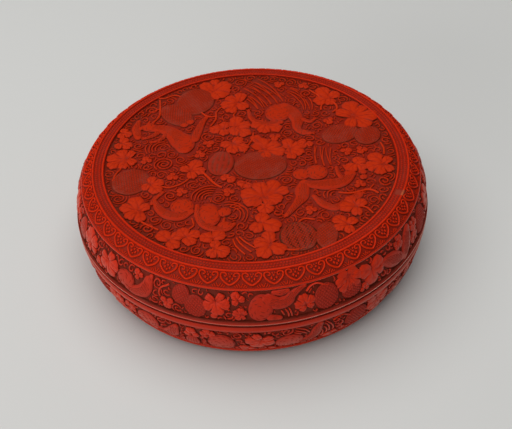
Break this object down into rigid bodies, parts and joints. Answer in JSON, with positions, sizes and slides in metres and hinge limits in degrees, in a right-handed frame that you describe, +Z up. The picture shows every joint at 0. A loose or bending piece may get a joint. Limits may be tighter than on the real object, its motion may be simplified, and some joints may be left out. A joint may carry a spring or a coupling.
{
  "type": "covered box",
  "caption": "Flat round carved red lacquer box with a lift-off lid, ridged top band, sloped shoulder and low foot.",
  "frame": {"origin": "middle of the plane that the foot ring stands on", "axes": "+Z up along the box's axis, -Y towards the viewer of the picture, +X to the right"},
  "size_m": [0.379, 0.379, 0.112],
  "materials": {
    "carved_red_lacquer": "semi-gloss",
    "old_fill": "satin",
    "black_lacquer": "gloss",
    "black_lip": "gloss black lacquer",
    "cloth_ground": "matte",
    "core_wood": "planed",
    "bamboo": "split and shaved"
  },
  "bodies": {
    "base": {"base_board_1": "core_wood", "base_board_2": "core_wood", "base_board_3": "core_wood", "base_board_4": "core_wood", "base_board_pins": "bamboo", "base_lower_hoop": "core_wood", "base_wall_hoop": "core_wood", "base_rim_hoop": "core_wood", "base_lip_hoop": "black_lip", "base_foot_hoop": "core_wood", "base_cloth_ground": "cloth_ground", "base_carved_lacquer": "carved_red_lacquer", "base_underside_lacquer": "black_lacquer", "base_lining": "black_lacquer"},
    "lid": {"lid_board_1": "core_wood", "lid_board_2": "core_wood", "lid_board_3": "core_wood", "lid_board_4": "core_wood", "lid_board_pins": "bamboo", "lid_shoulder_hoop": "core_wood", "lid_wall_hoop": "core_wood", "lid_mouth_hoop": "core_wood", "lid_cloth_ground": "cloth_ground", "lid_carved_lacquer": "carved_red_lacquer", "lid_band_fill": "old_fill", "lid_lining": "black_lacquer"}
  },
  "joints": [
    {"name": "lid_lift", "type": "slide", "parent": "base", "child": "lid", "axis": [0, 0, 1], "range_m": [0, 0.15]}
  ]
}
